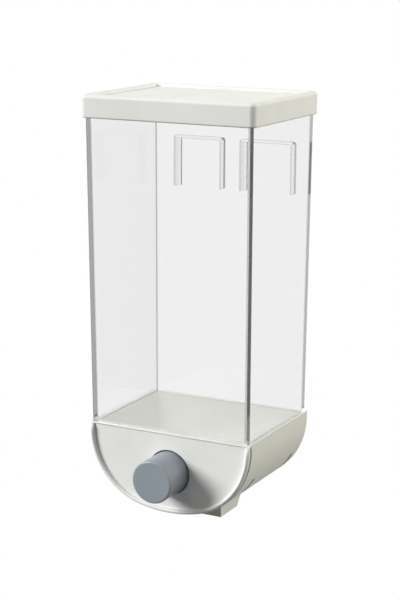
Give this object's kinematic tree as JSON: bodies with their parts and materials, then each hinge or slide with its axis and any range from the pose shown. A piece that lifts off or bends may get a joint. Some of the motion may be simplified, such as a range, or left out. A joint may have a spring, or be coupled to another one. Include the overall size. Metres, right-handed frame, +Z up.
{
  "type": "gravity bulk food bin",
  "caption": "Wall-hung clear bin for dry food with a lift-off lid, a sloping funnel, a spring-return push knob that slides a gate, and a short rectangular outlet spout below.",
  "frame": {"origin": "in the wall plane, midway between the two hanging sockets on the back of the bin, at the height where the sockets' top bars bear on the wall hooks", "axes": "+Z up, -Y the way the knob faces, +Y into the wall, +X to the right as seen from the front"},
  "size_m": [0.1, 0.095, 0.2212],
  "materials": {
    "white_plastic": "satin moulded",
    "lid_plastic": "satin moulded",
    "shell_plastic": "satin moulded",
    "clear_plastic": "clear polished",
    "knob_plastic": "fine satin",
    "silicone": "translucent matt",
    "steel": "bright"
  },
  "bodies": {
    "bin": {"bin_box": "clear_plastic", "base_shell": "shell_plastic", "front_cover": "white_plastic", "funnel": "white_plastic", "throat_seal": "silicone", "drawer_tray": "white_plastic", "outlet_spout": "shell_plastic", "return_spring_left": "steel", "return_spring_right": "steel", "spring_pins": "steel", "tray_screws": "steel", "spout_screws": "steel", "base_screws": "steel"},
    "knob_and_gate": {"push_knob": "knob_plastic", "push_stem": "steel", "stem_pin": "steel", "slide_gate": "white_plastic"},
    "lid": {"lid": "lid_plastic", "lid_seal": "silicone"}
  },
  "joints": [
    {"name": "knob_push", "type": "slide", "parent": "bin", "child": "knob_and_gate", "axis": [0, 1, 0], "range_m": [0, 0.012], "stiffness_N_per_m": 300, "springref_m": -0.01, "deforming": ["return_spring_left", "return_spring_right"]},
    {"name": "lid_lift", "type": "slide", "parent": "bin", "child": "lid", "axis": [0, 0, 1], "range_m": [0, 0.06]}
  ]
}
